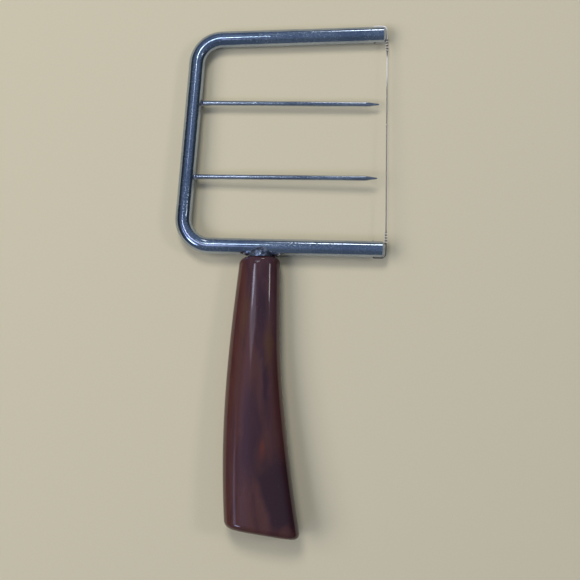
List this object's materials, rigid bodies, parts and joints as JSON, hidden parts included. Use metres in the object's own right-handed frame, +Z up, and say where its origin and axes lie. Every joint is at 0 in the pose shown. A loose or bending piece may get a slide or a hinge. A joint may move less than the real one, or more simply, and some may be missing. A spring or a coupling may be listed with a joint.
{
  "type": "wire cheese slicer",
  "caption": "Hand tool that slices cheese with a taut wire across an open U-shaped rod frame; prongs inside the frame hold the slice, and a flared resin handle hangs off-centre below.",
  "frame": {"origin": "centre of the bounding box's underside, on the table that the tool lies on", "axes": "+Z up from the table, +Y along the tool from the handle to the frame, +X towards the cutting wire"},
  "size_m": [0.084, 0.2012, 0.0163],
  "materials": {
    "chromed_rod": "old chrome plate on steel, scratched and pitted",
    "chromed_prong": "old chrome plate on steel wire",
    "plated_braze": "rough braze under worn chrome plate",
    "plated_tang": "worn chrome plate on steel",
    "steel_wire": "drawn stainless steel wire, dull",
    "cement": "setting cement, hidden in the handle",
    "marbled_resin": "polished cast phenolic, red-brown and purple marbling"
  },
  "bodies": {
    "root": {"frame_rod": "chromed_rod", "upper_prong": "chromed_prong", "lower_prong": "chromed_prong", "upper_prong_braze": "plated_braze", "lower_prong_braze": "plated_braze", "cutting_wire": "steel_wire", "tang": "plated_tang", "left_tang_braze": "plated_braze", "right_tang_braze": "plated_braze", "tang_cement": "cement", "handle": "marbled_resin"}
  },
  "joints": []
}
